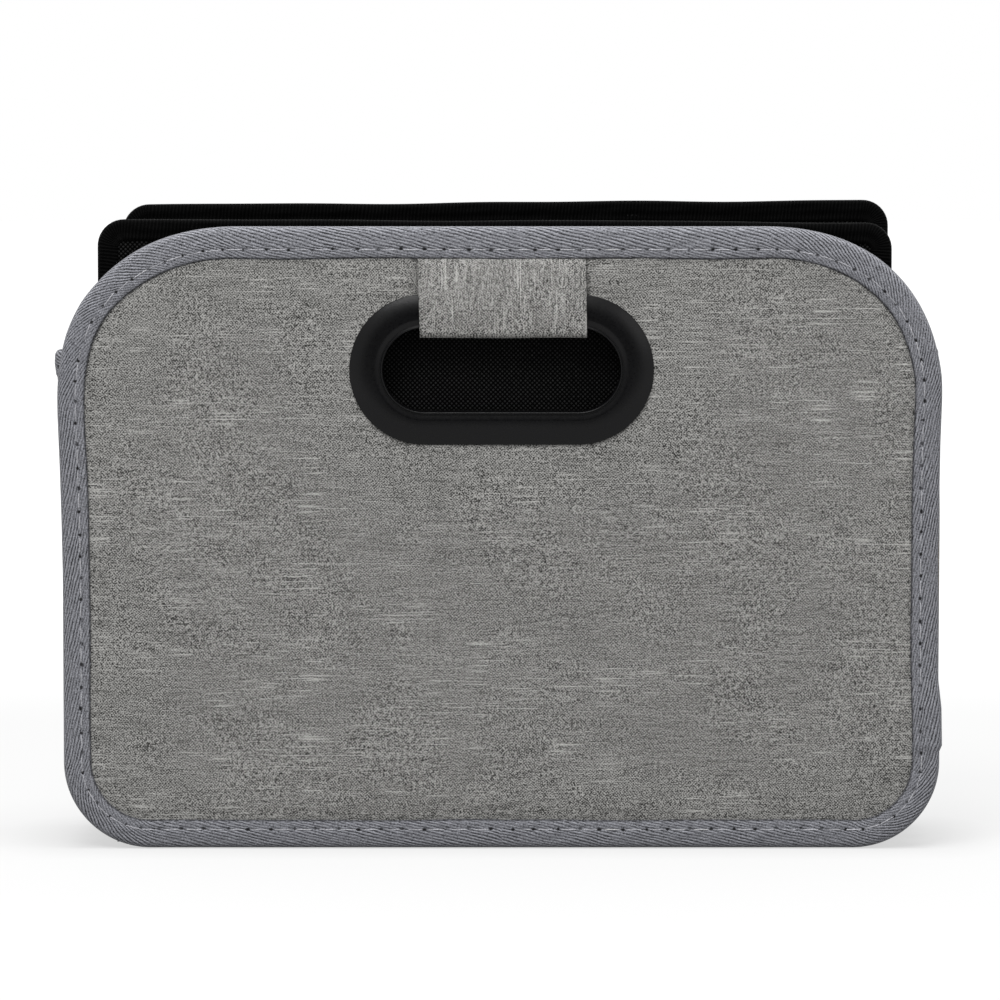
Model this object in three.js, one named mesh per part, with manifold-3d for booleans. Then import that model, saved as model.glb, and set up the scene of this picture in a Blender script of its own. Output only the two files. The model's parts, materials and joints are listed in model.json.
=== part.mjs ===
// A collapsible car trunk organizer, folded flat: two grey end panels with plastic hand holes,
// a black divider between them, side walls that fold inwards in four leaves a side, and two
// black floor flaps that stand against the end panels until the organizer is opened.
//
// Millimetres, +X to the right, +Y to the rear, +Z up. The origin is the middle of the footprint.
// The rear half is the front half turned half a turn about Z, so only the front half is drawn.
// Depths are given as "out", the distance in front of the divider's middle plane (out = -Y).

import * as THREE from 'three';
import { mergeVertices } from 'three/addons/utils/BufferGeometryUtils.js';
import Module from 'manifold-3d';

// End panel
const panelWidth = 333;
const panelHeight = 236.4;
const topCornerReach = 67;
const topCornerFullness = 0.632;
const bottomCornerReach = 33;
const roundFullness = 0.5523;
const panelBoardThickness = 2.8;
const panelClothThickness = 0.6;

// Layers that lie on each other keep this gap, and so does a tape round an edge.
// The thin boards stop a little inside the edges of their cloth.
const layerGap = 0.3;
const boardInset = 1.5;
const tapeGap = 0.2;

// Binding tape round the end panel, with the width that it covers at the top, sides and bottom
const bindingThickness = 0.6;
const bindingTop = 12.3;
const bindingSide = 10.3;
const bindingBottom = 9.5;

// Hand hole with its plastic ring
const holeWidth = 90;
const holeHeight = 31.8;
const holeDrop = 54;
const ringFlange = 12.6;
const ringBackFlange = 10.5;
const ringProud = 3.2;
const ringBackProud = 2.4;
const ringSleeveWall = 1.6;
const ringEdgeChamfer = 1.1;
const ringLip = 1.2;
const ringDish = 0.7;

// Cloth wrapped round the bar above the hand hole
const wrapWidth = 63.5;
const wrapThickness = 1;
const wrapSlack = 2.3;

// Floor flap, hinged at the foot of each end panel
const floorDrop = 0.5;
const floorCornerReach = 10;
const floorBoardThickness = 3;
const floorClothThickness = 0.6;
const floorBindingWidth = 8;
const floorHingeInset = 6.5;
const floorHingeLeg = 9;
const frontFloor = { narrower: 32, lift: 2.4, shift: -2.6 };
const rearFloor = { narrower: 38, lift: 7.8, shift: -1.5 };

// Side wall leaf
const wallDrop = 48.2;
const wallFoot = 2;
const wallBoardThickness = 2.6;
const wallClothThickness = 0.6;
const wallBindingWidth = 9;
const creaseFromMiddle = 37;
const leafHingeGap = 0.8;
const leafCreaseGap = 0.6;
const leafBindingHingeGap = 2.6;
const leafCornerInset = 1.5;
const hingeClothFoot = 34;

// Divider
const dividerDrop = 32.5;
const dividerFoot = 2;
const dividerCornerReach = 24;
const dividerFootCornerReach = 28;
const dividerBoardThickness = 3;
const dividerClothThickness = 0.6;
const dividerBindingWidth = 8;
const dividerEdgePastHinge = 2.4;

// Thin tape on the leaves, the floor flaps and the divider
const thinTape = 0.5;

// Folded stack and hinge lines
const hingeInset = 9.5;
const wallInnerOffset = 4.6;
const creaseHalfGap = 1;
const stackGap = 0.6;
const lipAngle = 33;
const cornerClothThickness = 0.6;
const cornerClothPast = 10;
const seamHalfAngle = 12;
const seamWebThickness = 1;

// Steps round a corner and round an arc
const cornerSteps = 10;
const arcSteps = 6;

// Worked out from the sizes above
const holeCentreHeight = panelHeight - holeDrop;
const floorLength = panelHeight - floorDrop;
const wallHeight = panelHeight - wallDrop - wallFoot;
const dividerHeight = panelHeight - dividerDrop - dividerFoot;
const thinTapeProud = thinTape + tapeGap;
const bindingProud = bindingThickness + layerGap;
const wallThickness = wallBoardThickness + 2 * (layerGap + wallClothThickness);
const dividerHalf = dividerBoardThickness / 2 + layerGap + dividerClothThickness;
const hingeX = panelWidth / 2 - hingeInset;
const leaf2Inner = wallInnerOffset;
const leaf2Outer = leaf2Inner + wallThickness;
const creaseOut = leaf2Outer + creaseHalfGap;
const leaf1Outer = creaseOut + creaseHalfGap;
const leaf1Inner = leaf1Outer + wallThickness;
const panelHingeOut = leaf1Inner + wallInnerOffset;
const leafLength = hingeX - creaseFromMiddle;
const floorThickness = floorBoardThickness + 2 * (layerGap + floorClothThickness);
const floorBack = leaf1Inner + thinTapeProud + stackGap + thinTapeProud;
const floorFront = floorBack + floorThickness;
const wrapBack = floorFront + stackGap;
const panelBack = wrapBack + wrapThickness + layerGap + ringBackProud;
const boardBack = panelBack + panelClothThickness + layerGap;
const boardFront = boardBack + panelBoardThickness;
const faceBack = boardFront + layerGap;
const panelFront = faceBack + panelClothThickness;
const wallRadius = wallInnerOffset + wallThickness;

// Closed mesh from vertices and triangles, turned so that its faces point out
function solid(vertices, triangles) {
  let volume = 0;
  for (const [a, b, c] of triangles) {
    const [p, q, r] = [vertices[a], vertices[b], vertices[c]];
    volume += p[0] * (q[1] * r[2] - q[2] * r[1])
      - p[1] * (q[0] * r[2] - q[2] * r[0])
      + p[2] * (q[0] * r[1] - q[1] * r[0]);
  }
  const faces = volume < 0 ? triangles.map(([a, b, c]) => [a, c, b]) : triangles;
  const geometry = new THREE.BufferGeometry();
  geometry.setAttribute('position', new THREE.Float32BufferAttribute(vertices.flat(), 3));
  geometry.setIndex(faces.flat());
  geometry.computeVertexNormals();
  return geometry;
}

// Outline with its corners eased: half width, foot and top height, and each corner's reach and fullness
function easedRectangle(halfWidth, foot, top, lower, upper, inset = 0) {
  const [x, z0, z1] = [halfWidth - inset, foot + inset, top - inset];
  const a = lower.reach - inset;
  const b = upper.reach - inset;
  const ka = a * (1 - lower.fullness);
  const kb = b * (1 - upper.fullness);
  const shape = new THREE.Shape();
  shape.moveTo(a - x, z0);
  shape.lineTo(x - a, z0);
  shape.bezierCurveTo(x - ka, z0, x, z0 + ka, x, z0 + a);
  shape.lineTo(x, z1 - b);
  shape.bezierCurveTo(x, z1 - kb, x - kb, z1, x - b, z1);
  shape.lineTo(b - x, z1);
  shape.bezierCurveTo(kb - x, z1, -x, z1 - kb, -x, z1 - b);
  shape.lineTo(-x, z0 + a);
  shape.bezierCurveTo(-x, z0 + ka, ka - x, z0, a - x, z0);
  return shape;
}

// Slot with round ends, drawn clockwise so that it can be a hole
function stadium(width, height, centreHeight) {
  const r = height / 2;
  const half = width / 2 - r;
  const path = new THREE.Path();
  path.absarc(-half, centreHeight, r, -Math.PI / 2, Math.PI / 2, true);
  path.absarc(half, centreHeight, r, Math.PI / 2, -Math.PI / 2, true);
  path.closePath();
  return path;
}

// Upright plate: the outline in X and Z, filling the depths from outBack to outFront
function plate(shape, outBack, outFront) {
  const options = { depth: outFront - outBack, bevelEnabled: false, curveSegments: cornerSteps };
  const geometry = new THREE.ExtrudeGeometry(shape, options);
  const upright = new THREE.Matrix4().set(1, 0, 0, 0, 0, 0, -1, -outBack, 0, 1, 0, 0, 0, 0, 0, 1);
  return geometry.applyMatrix4(upright);
}

// Post: an outline in X and depth, raised from foot to top
function post(outline, foot, top) {
  const shape = new THREE.Shape(outline.map(([x, out]) => new THREE.Vector2(x, -out)));
  const geometry = new THREE.ExtrudeGeometry(shape, { depth: top - foot, bevelEnabled: false });
  return geometry.translate(0, 0, foot);
}

// Rail: an outline in depth and height, run along X
function rail(outline, left, right) {
  const count = outline.length;
  const vertices = [left, right].flatMap((x) => outline.map(([out, z]) => [x, -out, z]));
  const contour = outline.map(([out, z]) => new THREE.Vector2(out, z));
  const ends = THREE.ShapeUtils.triangulateShape(contour, []);
  const triangles = ends.map(([a, b, c]) => [a, c, b]);
  triangles.push(...ends.map(([a, b, c]) => [a + count, b + count, c + count]));
  for (let i = 0; i < count; i += 1) {
    const next = (i + 1) % count;
    triangles.push([i, next, count + next], [i, count + next, count + i]);
  }
  if (THREE.ShapeUtils.isClockWise(contour)) {
    triangles.forEach((t, i) => { if (i < 2 * ends.length) t.reverse(); });
  }
  return solid(vertices, orient(triangles));
}

// Gives neighbouring triangles the same sense, starting from the first
function orient(triangles) {
  const edges = new Map();
  triangles.forEach((t, i) => {
    for (let k = 0; k < 3; k += 1) {
      const key = [t[k], t[(k + 1) % 3]].sort((a, b) => a - b).join();
      edges.set(key, [...(edges.get(key) ?? []), i]);
    }
  });
  const done = new Set([0]);
  const waiting = [0];
  while (waiting.length) {
    const t = triangles[waiting.pop()];
    for (let k = 0; k < 3; k += 1) {
      const [a, b] = [t[k], t[(k + 1) % 3]];
      for (const j of edges.get([a, b].sort((m, n) => m - n).join())) {
        if (done.has(j)) continue;
        const other = triangles[j];
        const same = [0, 1, 2].some((m) => other[m] === a && other[(m + 1) % 3] === b);
        if (same) other.reverse();
        done.add(j);
        waiting.push(j);
      }
    }
  }
  return triangles;
}

// Ring: a closed profile of [inset, out] carried round a path of points in X and Z.
// insetScale says, for each path point, how far the insets reach towards the middle.
function ring(path, profile, insetScale = () => 1) {
  const points = path.getPoints(cornerSteps).filter((p, i, all) => i === 0 || p.distanceTo(all[i - 1]) > 1e-4);
  if (points[0].distanceTo(points[points.length - 1]) < 1e-4) points.pop();
  const clockwise = THREE.ShapeUtils.isClockWise(points);
  const vertices = [];
  points.forEach((p, i) => {
    const before = points[(i + points.length - 1) % points.length];
    const after = points[(i + 1) % points.length];
    const along = after.clone().sub(before).normalize();
    const inward = clockwise ? new THREE.Vector2(along.y, -along.x) : new THREE.Vector2(-along.y, along.x);
    for (const [inset, out, scaled] of profile) {
      const reach = scaled ? inset * insetScale(inward) : inset;
      vertices.push([p.x + inward.x * reach, -out, p.y + inward.y * reach]);
    }
  });
  const [n, m] = [points.length, profile.length];
  const triangles = [];
  for (let i = 0; i < n; i += 1) {
    for (let j = 0; j < m; j += 1) {
      const [a, b] = [i * m + j, i * m + ((j + 1) % m)];
      const [c, d] = [((i + 1) % n) * m + j, ((i + 1) % n) * m + ((j + 1) % m)];
      triangles.push([a, b, d], [a, d, c]);
    }
  }
  return solid(vertices, triangles);
}

// Tape folded over an edge: covers `width` of a plate between two depths, outside its faces
function tapeProfile(width, outBack, outFront, thickness) {
  return [
    [width, outFront, true],
    [thickness, outFront],
    [0, outFront - thickness],
    [0, outBack + thickness],
    [thickness, outBack],
    [width, outBack, true],
    [width, outBack + thickness, true],
    [thickness, outBack + thickness],
    [thickness, outFront - thickness],
    [width, outFront - thickness, true],
  ];
}

const wasm = await Module();
wasm.setup();

// Closed body for cutting, with the corners of its faces joined
function body(geometry) {
  const bare = geometry.clone();
  bare.deleteAttribute('normal');
  bare.deleteAttribute('uv');
  const joined = mergeVertices(bare, 1e-4);
  const triVerts = new Uint32Array(joined.index.array);
  return new wasm.Manifold(new wasm.Mesh({
    numProp: 3,
    vertProperties: joined.attributes.position.array,
    triVerts,
  }));
}

// What is left of one mesh when another is taken away
function cut(geometry, tool) {
  const left = body(geometry).subtract(body(tool)).getMesh();
  const result = new THREE.BufferGeometry();
  result.setAttribute('position', new THREE.Float32BufferAttribute(left.vertProperties, 3));
  result.setIndex(Array.from(left.triVerts));
  result.computeVertexNormals();
  return result;
}

// Points on an arc about a hinge line, by its angle from the outward X direction of that side
function arcPoints(side, out, radius, from, to) {
  const points = [];
  for (let i = 0; i <= arcSteps; i += 1) {
    const angle = THREE.MathUtils.degToRad(from + (to - from) * i / arcSteps);
    points.push([side * (hingeX + radius * Math.cos(angle)), out + radius * Math.sin(angle)]);
  }
  return points;
}

const materials = {
  greyCloth: new THREE.MeshStandardMaterial({ color: 0x7f7e7b, roughness: 0.92, metalness: 0 }),
  greyTape: new THREE.MeshStandardMaterial({ color: 0x777980, roughness: 0.85, metalness: 0 }),
  blackCloth: new THREE.MeshStandardMaterial({ color: 0x141414, roughness: 0.9, metalness: 0 }),
  blackTape: new THREE.MeshStandardMaterial({ color: 0x101010, roughness: 0.85, metalness: 0 }),
  blackPlastic: new THREE.MeshStandardMaterial({ color: 0x1d1d1e, roughness: 0.45, metalness: 0 }),
  board: new THREE.MeshStandardMaterial({ color: 0x8a7c66, roughness: 0.9, metalness: 0 }),
};

function piece(name, geometry, material) {
  const mesh = new THREE.Mesh(geometry, materials[material]);
  mesh.name = name;
  return mesh;
}

const panelLower = { reach: bottomCornerReach, fullness: roundFullness };
const panelUpper = { reach: topCornerReach, fullness: topCornerFullness };

// End panel: grey cloth, stiffener board and black lining, all with the hand hole, bound at the rim
function endPanel(end) {
  const outline = (inset) => easedRectangle(panelWidth / 2, 0, panelHeight, panelLower, panelUpper, inset);
  const holed = () => {
    const shape = outline(bindingProud);
    const margin = 2 * (ringSleeveWall + layerGap);
    shape.holes.push(stadium(holeWidth + margin, holeHeight + margin, holeCentreHeight));
    return shape;
  };
  const tape = tapeProfile(bindingSide, panelBack - bindingProud, panelFront + bindingProud, bindingThickness);
  const cover = (inward) => {
    const vertical = inward.y < 0 ? bindingTop : bindingBottom;
    return (inward.x * inward.x * bindingSide + inward.y * inward.y * vertical) / bindingSide;
  };
  return [
    piece(`${end}_face_cloth`, plate(holed(), faceBack, panelFront), 'greyCloth'),
    piece(`${end}_board`, plate(holed(), boardBack, boardFront), 'board'),
    piece(`${end}_lining`, plate(holed(), panelBack, panelBack + panelClothThickness), 'blackCloth'),
    piece(`${end}_edge_binding`, ring(outline(0), tape, cover), 'greyTape'),
  ];
}

// Plastic ring: a dished flange with a raised lip and a sleeve through the panel, and a back ring on the sleeve
function handRing(end) {
  const sleeveBack = panelBack - ringBackProud + layerGap;
  const face = panelFront + layerGap;
  const front = panelFront + ringProud;
  const flange = [
    [0, front],
    [-ringLip, front],
    [-2 * ringLip, front - ringDish],
    [ringEdgeChamfer - ringFlange, front - ringDish / 2],
    [-ringFlange, front - ringEdgeChamfer - ringDish / 2],
    [-ringFlange, face],
    [-ringSleeveWall, face],
    [-ringSleeveWall, sleeveBack],
    [0, sleeveBack],
  ];
  const backFace = panelBack - layerGap;
  const backRing = [
    [-ringSleeveWall - layerGap, backFace],
    [-ringBackFlange, backFace],
    [-ringBackFlange, backFace - ringBackProud / 2],
    [ringEdgeChamfer - ringBackFlange, panelBack - ringBackProud],
    [-ringSleeveWall - layerGap, panelBack - ringBackProud],
  ];
  const hole = stadium(holeWidth, holeHeight, holeCentreHeight);
  return [
    piece(`${end}_handle_ring`, ring(hole, flange), 'blackPlastic'),
    piece(`${end}_handle_back_ring`, ring(hole, backRing), 'blackPlastic'),
  ];
}

// Cloth strip sewn in at the top of the panel, down over the ring, through the hand hole and up behind
function gripWrap(end) {
  const top = panelHeight - bindingTop - layerGap;
  const holeTop = holeCentreHeight + holeHeight / 2;
  const under = holeTop - layerGap - wrapSlack;
  const ringTop = holeTop + ringFlange;
  const backRingTop = holeTop + ringBackFlange;
  const near = panelFront + layerGap;
  const over = panelFront + ringProud + layerGap;
  const behind = panelBack - layerGap;
  const t = wrapThickness;
  const outline = [
    [near, top],
    [near, ringTop + layerGap + t],
    [over, ringTop + layerGap - t],
    [over, under],
    [wrapBack + t, under],
    [wrapBack + t, backRingTop + layerGap],
    [behind - t, backRingTop + layerGap + 2 * t],
    [behind, backRingTop + layerGap + 3 * t],
    [behind, top],
    [behind - t, top],
    [behind - t, backRingTop + layerGap + 3 * t],
    [wrapBack, backRingTop + layerGap + t],
    [wrapBack, under - t / 2],
    [wrapBack + t / 2, under - t],
    [over + t / 2, under - t],
    [over + t, under - t / 2],
    [over + t, ringTop + layerGap],
    [near + t, ringTop + layerGap + 2 * t],
    [near + t, top],
  ];
  return [piece(`${end}_grip_wrap`, rail(outline, -wrapWidth / 2, wrapWidth / 2), 'greyCloth')];
}

// Floor flap: a board between two black cloths with a taped edge, and the cloth hinge at its foot
function floorFlap(end, { narrower, lift, shift }) {
  const width = panelWidth - narrower;
  const corner = { reach: floorCornerReach, fullness: roundFullness };
  const outline = (inset) => easedRectangle(width / 2, lift, lift + floorLength, corner, corner, inset);
  const inner = () => outline(thinTapeProud);
  const stiffener = outline(thinTapeProud + boardInset);
  const tape = tapeProfile(floorBindingWidth, floorBack - thinTapeProud, floorFront + thinTapeProud, thinTape);
  const board = floorBack + floorClothThickness + layerGap;
  const legBack = floorFront + thinTapeProud + layerGap;
  const legFront = panelBack - bindingProud - layerGap;
  const t = floorClothThickness;
  const foot = lift - layerGap;
  const legTop = foot + floorHingeLeg;
  const hinge = [
    [legBack, legTop],
    [legBack, foot],
    [legBack + t, foot - t],
    [legFront - t, foot - t],
    [legFront, foot],
    [legFront, legTop],
    [legFront - t, legTop],
    [legFront - t, foot],
    [legBack + t, foot],
    [legBack + t, legTop],
  ];
  const flap = [
    piece(`${end}_floor_board`, plate(stiffener, board, board + floorBoardThickness), 'board'),
    piece(`${end}_floor_upper_cloth`, plate(inner(), floorFront - t, floorFront), 'blackCloth'),
    piece(`${end}_floor_under_cloth`, plate(inner(), floorBack, floorBack + t), 'blackCloth'),
    piece(`${end}_floor_binding`, ring(outline(0), tape), 'blackTape'),
    piece(`${end}_floor_hinge`, rail(hinge, floorHingeInset - width / 2, width / 2 - floorHingeInset), 'blackCloth'),
  ];
  flap.forEach((mesh) => mesh.geometry.translate(shift, 0, 0));
  return flap;
}

// Space outside the end panel's foot corner, which the leaves of the side walls keep clear of
function footCorner(side, inset) {
  const reach = bottomCornerReach;
  const handle = reach * roundFullness;
  const x = panelWidth / 2 - inset;
  const z = inset;
  const past = wallRadius;
  const shape = new THREE.Shape();
  shape.moveTo(side * (x - reach), z);
  shape.bezierCurveTo(side * (x - reach + handle), z, side * x, z + reach - handle, side * x, z + reach);
  shape.lineTo(side * (x + past), z + reach);
  shape.lineTo(side * (x + past), -past);
  shape.lineTo(side * (x - reach), -past);
  shape.closePath();
  return plate(shape, 0, panelFront);
}

// Corner cloth: sewn into the panel's binding, it turns towards the first leaf of the side wall
function cornerCloth(end, name, side) {
  const inner = wallRadius + layerGap;
  const outer = inner + cornerClothThickness;
  const reach = panelBack - bindingProud - layerGap - panelHingeOut;
  const start = THREE.MathUtils.radToDeg(Math.asin(reach / outer));
  const outline = [
    ...arcPoints(side, panelHingeOut, outer, start, -cornerClothPast),
    ...arcPoints(side, panelHingeOut, inner, -cornerClothPast, start),
  ];
  return piece(`${end}_${name}_corner_cloth`, post(outline, hingeClothFoot, wallFoot + wallHeight), 'greyCloth');
}

// One leaf of a side wall. `inward` is +1 when its inner face looks towards the end panel, else -1.
function wallLeaf(name, side, hingeOut, inward) {
  const x = (distance) => side * (hingeX - distance);
  const inner = hingeOut - inward * wallInnerOffset;
  const outer = inner - inward * wallThickness;
  const t = wallClothThickness;
  const pocket = t + layerGap;
  const end = leafLength - leafCreaseGap;
  const lip = inward > 0 ? -lipAngle : 0;
  const lipOuter = lip ? arcPoints(side, hingeOut, wallRadius, -90, -90 - lip) : [[x(leafHingeGap), outer]];
  const lipInner = lip ? arcPoints(side, hingeOut, wallRadius - t, -90 - lip, -90) : [];
  const cloth = [
    [x(leafHingeGap), inner],
    [x(end), inner],
    [x(end), outer],
    ...lipOuter,
    ...lipInner,
    [x(leafHingeGap), outer + inward * t],
    [x(end - t), outer + inward * t],
    [x(end - t), inner - inward * t],
    [x(leafHingeGap), inner - inward * t],
  ];
  const board = [
    [x(leafHingeGap + pocket), inner - inward * pocket],
    [x(end - pocket), inner - inward * pocket],
    [x(end - pocket), outer + inward * pocket],
    [x(leafHingeGap + pocket), outer + inward * pocket],
  ];
  const top = wallFoot + wallHeight;
  const clothTop = top - thinTapeProud;
  const [low, high] = [Math.min(inner, outer) - thinTapeProud, Math.max(inner, outer) + thinTapeProud];
  const tape = [
    [low, top - wallBindingWidth],
    [low, top - thinTape],
    [low + thinTape, top],
    [high - thinTape, top],
    [high, top - thinTape],
    [high, top - wallBindingWidth],
    [high - thinTape, top - wallBindingWidth],
    [high - thinTape, top - thinTape],
    [low + thinTape, top - thinTape],
    [low + thinTape, top - wallBindingWidth],
  ];
  const ends = [x(leafBindingHingeGap), x(end)].sort((a, b) => a - b);
  const corner = footCorner(side, leafCornerInset);
  const boardCorner = footCorner(side, leafCornerInset + boardInset);
  return [
    piece(`${name}_board`, cut(post(board, wallFoot + boardInset, clothTop - boardInset), boardCorner), 'board'),
    piece(`${name}_cloth`, cut(post(cloth, wallFoot, clothTop), corner), 'greyCloth'),
    piece(`${name}_binding`, rail(tape, ...ends), 'greyTape'),
  ];
}

// Front half: end panel, hand ring, wrap, floor flap and the two leaves on each side
function half(end, floor, walls) {
  const group = new THREE.Group();
  group.add(...endPanel(end), ...handRing(end), ...gripWrap(end), ...floorFlap(end, floor));
  for (const { name, corner, side } of walls) {
    group.add(cornerCloth(end, corner, side));
    group.add(...wallLeaf(name[0], side, panelHingeOut, 1));
    group.add(...wallLeaf(name[1], side, 0, -1));
  }
  return group;
}

// Divider: a board between two black cloths, bound at the rim, with a seam strip at each side
function divider() {
  const lower = { reach: dividerFootCornerReach, fullness: roundFullness };
  const upper = { reach: dividerCornerReach, fullness: roundFullness };
  const halfWidth = hingeX + dividerEdgePastHinge;
  const top = dividerFoot + dividerHeight;
  const outline = (inset) => easedRectangle(halfWidth, dividerFoot, top, lower, upper, inset);
  const inner = () => outline(thinTapeProud);
  const stiffener = outline(thinTapeProud + boardInset);
  const rim = dividerHalf + thinTapeProud;
  const tape = tapeProfile(dividerBindingWidth, -rim, rim, thinTape);
  const clothBack = dividerHalf - dividerClothThickness;
  const group = new THREE.Group();
  group.add(
    piece('divider_board', plate(stiffener, -dividerBoardThickness / 2, dividerBoardThickness / 2), 'board'),
    piece('divider_front_cloth', plate(inner(), clothBack, dividerHalf), 'blackCloth'),
    piece('divider_rear_cloth', plate(inner(), -dividerHalf, -clothBack), 'blackCloth'),
    piece('divider_binding', ring(outline(0), tape), 'blackTape'),
    dividerSeam('left', -1),
    dividerSeam('right', 1),
  );
  return group;
}

// Seam strip: a web from the divider's edge between the two leaves, with a curved cover outside them
function dividerSeam(name, side) {
  const inner = wallRadius + layerGap;
  const outer = inner + cornerClothThickness;
  const web = seamWebThickness / 2;
  const webEdge = hingeX + dividerEdgePastHinge + layerGap;
  const outline = [
    ...arcPoints(side, 0, outer, seamHalfAngle, -seamHalfAngle),
    [side * (hingeX + inner * Math.cos(THREE.MathUtils.degToRad(seamHalfAngle))), -web - 1],
    [side * (hingeX + inner), -web],
    [side * webEdge, -web],
    [side * webEdge, web],
    [side * (hingeX + inner), web],
    [side * (hingeX + inner * Math.cos(THREE.MathUtils.degToRad(seamHalfAngle))), web + 1],
  ];
  return piece(`divider_${name}_seam`, post(outline, hingeClothFoot, wallFoot + wallHeight), 'greyCloth');
}

const organizer = new THREE.Group();
organizer.add(half('front', frontFloor, [
  { name: ['left_wall_1', 'left_wall_2'], corner: 'left', side: -1 },
  { name: ['right_wall_1', 'right_wall_2'], corner: 'right', side: 1 },
]));
organizer.add(divider());
const rear = half('rear', rearFloor, [
  { name: ['right_wall_4', 'right_wall_3'], corner: 'right', side: -1 },
  { name: ['left_wall_4', 'left_wall_3'], corner: 'left', side: 1 },
]);
rear.rotation.z = Math.PI;
organizer.add(rear);

export default organizer;
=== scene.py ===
"""A folded trunk organizer: heather end panels in twill binding, satin hand hole rings,
black floor flaps, and cloth-covered leaves and a divider between them.

Shapes are written in millimetres as (across, out, up) for the front half, where out is the
distance in front of the divider's middle plane. The rear half is the same, turned half a turn.
"""

import json
import math

import bpy
import numpy as np
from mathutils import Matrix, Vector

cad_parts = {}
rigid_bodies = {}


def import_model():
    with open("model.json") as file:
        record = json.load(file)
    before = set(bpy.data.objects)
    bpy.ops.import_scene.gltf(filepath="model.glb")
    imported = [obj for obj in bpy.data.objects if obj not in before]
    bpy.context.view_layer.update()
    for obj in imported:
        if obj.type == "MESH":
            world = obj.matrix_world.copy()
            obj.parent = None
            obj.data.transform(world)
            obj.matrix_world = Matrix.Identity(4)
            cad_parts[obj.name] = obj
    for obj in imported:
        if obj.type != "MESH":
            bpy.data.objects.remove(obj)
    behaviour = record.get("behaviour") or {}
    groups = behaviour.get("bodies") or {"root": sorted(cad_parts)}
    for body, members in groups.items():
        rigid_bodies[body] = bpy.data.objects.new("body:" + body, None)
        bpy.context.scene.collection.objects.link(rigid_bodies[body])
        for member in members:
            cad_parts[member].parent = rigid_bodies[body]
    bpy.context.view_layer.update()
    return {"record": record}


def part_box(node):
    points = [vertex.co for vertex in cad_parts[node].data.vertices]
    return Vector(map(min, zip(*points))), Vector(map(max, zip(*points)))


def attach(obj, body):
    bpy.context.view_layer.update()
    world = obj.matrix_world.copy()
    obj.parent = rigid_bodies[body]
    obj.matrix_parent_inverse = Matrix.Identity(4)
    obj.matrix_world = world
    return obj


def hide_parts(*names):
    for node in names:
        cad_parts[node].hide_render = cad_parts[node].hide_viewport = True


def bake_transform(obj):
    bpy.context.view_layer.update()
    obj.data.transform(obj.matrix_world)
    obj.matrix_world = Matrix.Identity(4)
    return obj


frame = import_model()

HALVES = (("front", 1), ("rear", -1))
SIDES = (("left", -1), ("right", 1))


# Sizes taken from the frame, in millimetres


def reach(node):
    """Lowest and highest (across, out, up) of a node of the front half."""
    low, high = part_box(node)
    return (
        np.array([low[0], -high[1], low[2]]) * 1000,
        np.array([high[0], -low[1], high[2]]) * 1000,
    )


rim_low, rim_high = reach("front_edge_binding")
panel_half = rim_high[0]
panel_top = rim_high[2]
rim_back, rim_front = rim_low[1], rim_high[1]
face_out = reach("front_face_cloth")[1][1]
lining_out = reach("front_lining")[0][1]
ring_low, ring_high = reach("front_handle_ring")
back_ring_low = reach("front_handle_back_ring")[0]
wrap_low, wrap_high = reach("front_grip_wrap")
leaf_top = reach("right_wall_1_binding")[1][2]
outer_leaf = reach("right_wall_1_cloth")
inner_leaf = reach("right_wall_2_cloth")
divider_low, divider_high = reach("divider_binding")
divider_cloth = reach("divider_front_cloth")[1][1]

# A corner is its reach and the fullness of its handles, which is ROUND for a quarter circle
ROUND = 0.5523
TOP_CORNER = (67.0, 0.632)
FOOT_CORNER = (33.0, ROUND)
FLAP_CORNER = (10.0, ROUND)
DIVIDER_CORNERS = (28.0, ROUND), (24.0, ROUND)

# Grey tape: its full width, what it covers of the face, and its stitches by half length and radius
TAPE = 25.6
BINDING_COVER = {"top": 12.3, "side": 10.6, "foot": 10.8}
STITCH_FROM_EDGE = 3.6
STITCH_PITCH = 8.4
STITCH_SIZE = (3.5, 0.25)

# Length that the ribs' way gains as the tape turns round the panel, by the angle turned
RIB_TURN = (np.pi * np.array([0, 0.5, 1.5, 2]), [0, 35, 255, 290])

# Black tape: how far it covers either face
BLACK_TAPE = 8.0

# Hand hole, and how far the ring and the back ring reach past its edge
FLANGE = 12.6
BACK_FLANGE = 10.5
HOLE = {
    "width": ring_high[0] - ring_low[0] - 2 * FLANGE,
    "height": ring_high[2] - ring_low[2] - 2 * FLANGE,
    "up": (ring_high[2] + ring_low[2]) / 2,
}

# Wrap: half its width as it lies
WRAP_HALF = 31.8

# Fold lines: the hinges at the panels and the divider, and the creases between two leaves
HINGE = 157.0
CORNER_OUT = 20.0
CREASE = 37.0
CREASE_OUT = 10.0

# Side walls: heights of a leaf's foot, edge and tape, and of the cloth and tape over the hinges
LEAF_FOOT = 2.0
LEAF_TAPE = 9.0
LEAF_EDGE = leaf_top - 0.6
CLOTH_RISE = (34.0, leaf_top - 0.4)
TAPE_RISE = (leaf_top - LEAF_TAPE, leaf_top + 0.6)

# Strip between the divider and the side wall: half its thickness
STRIP_HALF = 0.24

# How far each side of the panel stands out, as heights and widths
SIDE_SWELL = {
    "left": (
        [105, 125, 146, 165, 180, 196, 208, 216, 224],
        [0, 0.35, 0.9, 1.6, 1.75, 1.9, 1.5, 0.6, 0],
    ),
    "right": (
        [40, 70, 110, 135, 155, 170, 180, 190, 205, 220],
        [0, -0.6, -0.8, -0.6, -0.3, 0.2, 0.55, 0.4, 0.2, 0],
    ),
}


# Mesh making


def placed(across, out, up, turn=1):
    """(across, out, up) in millimetres to metres: X = turn*across, Y = -turn*out, Z = up."""
    across, out, up = np.broadcast_arrays(across, out, up)
    return np.stack([turn * across, -turn * out, up], axis=-1) / 1000


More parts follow.
